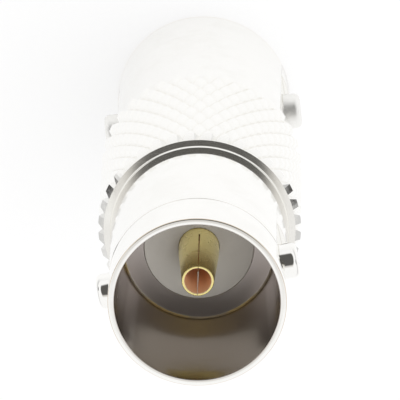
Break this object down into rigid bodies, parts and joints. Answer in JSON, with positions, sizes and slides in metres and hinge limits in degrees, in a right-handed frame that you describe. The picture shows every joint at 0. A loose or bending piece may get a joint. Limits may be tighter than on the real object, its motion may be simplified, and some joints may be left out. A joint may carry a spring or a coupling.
{
  "type": "coaxial coupler",
  "caption": "Straight coaxial coupler with a bayonet jack at each end, joined by a diamond knurled grip, with slotted gold socket contacts on pale insulators.",
  "frame": {"origin": "middle of the rear mouth, at the plane of its rim", "axes": "+Z along the barrel's axis to the front mouth, X through the front jack's bayonet studs"},
  "size_m": [0.011, 0.011, 0.0318],
  "materials": {
    "nickel_shell": "polished nickel plate on turned brass",
    "nickel_grip": "nickel plate on knurled brass",
    "insulator": "pale smooth resin",
    "gold_contact": "thin gold plate on copper alloy"
  },
  "bodies": {
    "root": {"front_shell": "nickel_shell", "rear_shell": "nickel_shell", "knurled_sleeve": "nickel_grip", "front_insulator": "insulator", "rear_insulator": "insulator", "centre_contact": "gold_contact"}
  },
  "joints": []
}
